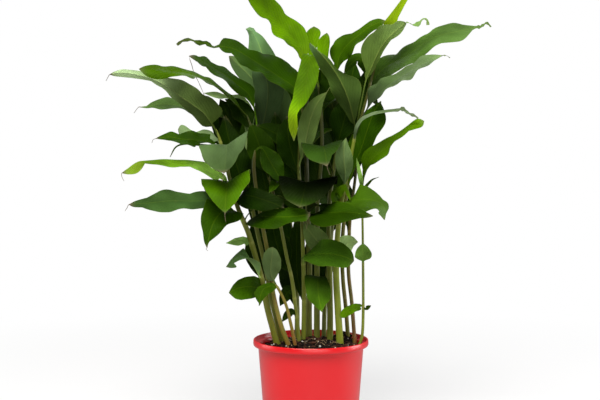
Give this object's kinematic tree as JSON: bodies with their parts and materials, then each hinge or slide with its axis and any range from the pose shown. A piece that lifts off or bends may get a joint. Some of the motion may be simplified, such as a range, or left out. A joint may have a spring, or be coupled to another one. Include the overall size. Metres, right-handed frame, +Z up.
{
  "type": "potted plant",
  "caption": "leafy green cardamom plant with upright canes and long pointed leaves, in a round tapered red plastic nursery pot filled with potting soil",
  "frame": {"origin": "the centre of the flat base that the pot stands on", "axes": "+Z up along the pot's axis, +X to the viewer's right, +Y away from the viewer of the main view"},
  "size_m": [0.5337, 0.4021, 0.6949],
  "materials": {
    "pot_red": "gloss",
    "soil_brown": "rough",
    "cane_green": "satin",
    "leaf_green": "satin",
    "leaf_dark": "satin",
    "leaf_young": "satin"
  },
  "bodies": {
    "root": {"pot": "pot_red", "soil": "soil_brown", "cane_01": "cane_green", "cane_02": "cane_green", "cane_03": "cane_green", "cane_04": "cane_green", "cane_05": "cane_green", "cane_06": "cane_green", "cane_07": "cane_green", "cane_08": "cane_green", "cane_09": "cane_green", "cane_10": "cane_green", "cane_11": "cane_green", "cane_12": "cane_green", "cane_13": "cane_green", "cane_14": "cane_green", "cane_15": "cane_green", "leaf_01": "leaf_green", "leaf_02": "leaf_young", "leaf_03": "leaf_dark", "leaf_04": "leaf_dark", "leaf_05": "leaf_green", "leaf_06": "leaf_dark", "leaf_07": "leaf_green", "leaf_08": "leaf_green", "leaf_09": "leaf_dark", "leaf_10": "leaf_young", "leaf_11": "leaf_dark", "leaf_12": "leaf_green", "leaf_13": "leaf_green", "leaf_14": "leaf_young", "leaf_15": "leaf_green", "leaf_16": "leaf_young", "leaf_17": "leaf_dark", "leaf_18": "leaf_green", "leaf_19": "leaf_green", "leaf_20": "leaf_young", "leaf_21": "leaf_green", "leaf_22": "leaf_green", "leaf_23": "leaf_dark", "leaf_24": "leaf_young", "leaf_25": "leaf_green", "leaf_26": "leaf_green", "leaf_27": "leaf_green", "leaf_28": "leaf_green", "leaf_29": "leaf_green", "leaf_30": "leaf_dark", "leaf_31": "leaf_green", "leaf_32": "leaf_green", "leaf_33": "leaf_green", "leaf_34": "leaf_green", "leaf_35": "leaf_green", "leaf_36": "leaf_green", "leaf_37": "leaf_green", "leaf_38": "leaf_young", "leaf_39": "leaf_green", "leaf_40": "leaf_green", "leaf_41": "leaf_green", "leaf_42": "leaf_green", "leaf_43": "leaf_green"}
  },
  "joints": []
}
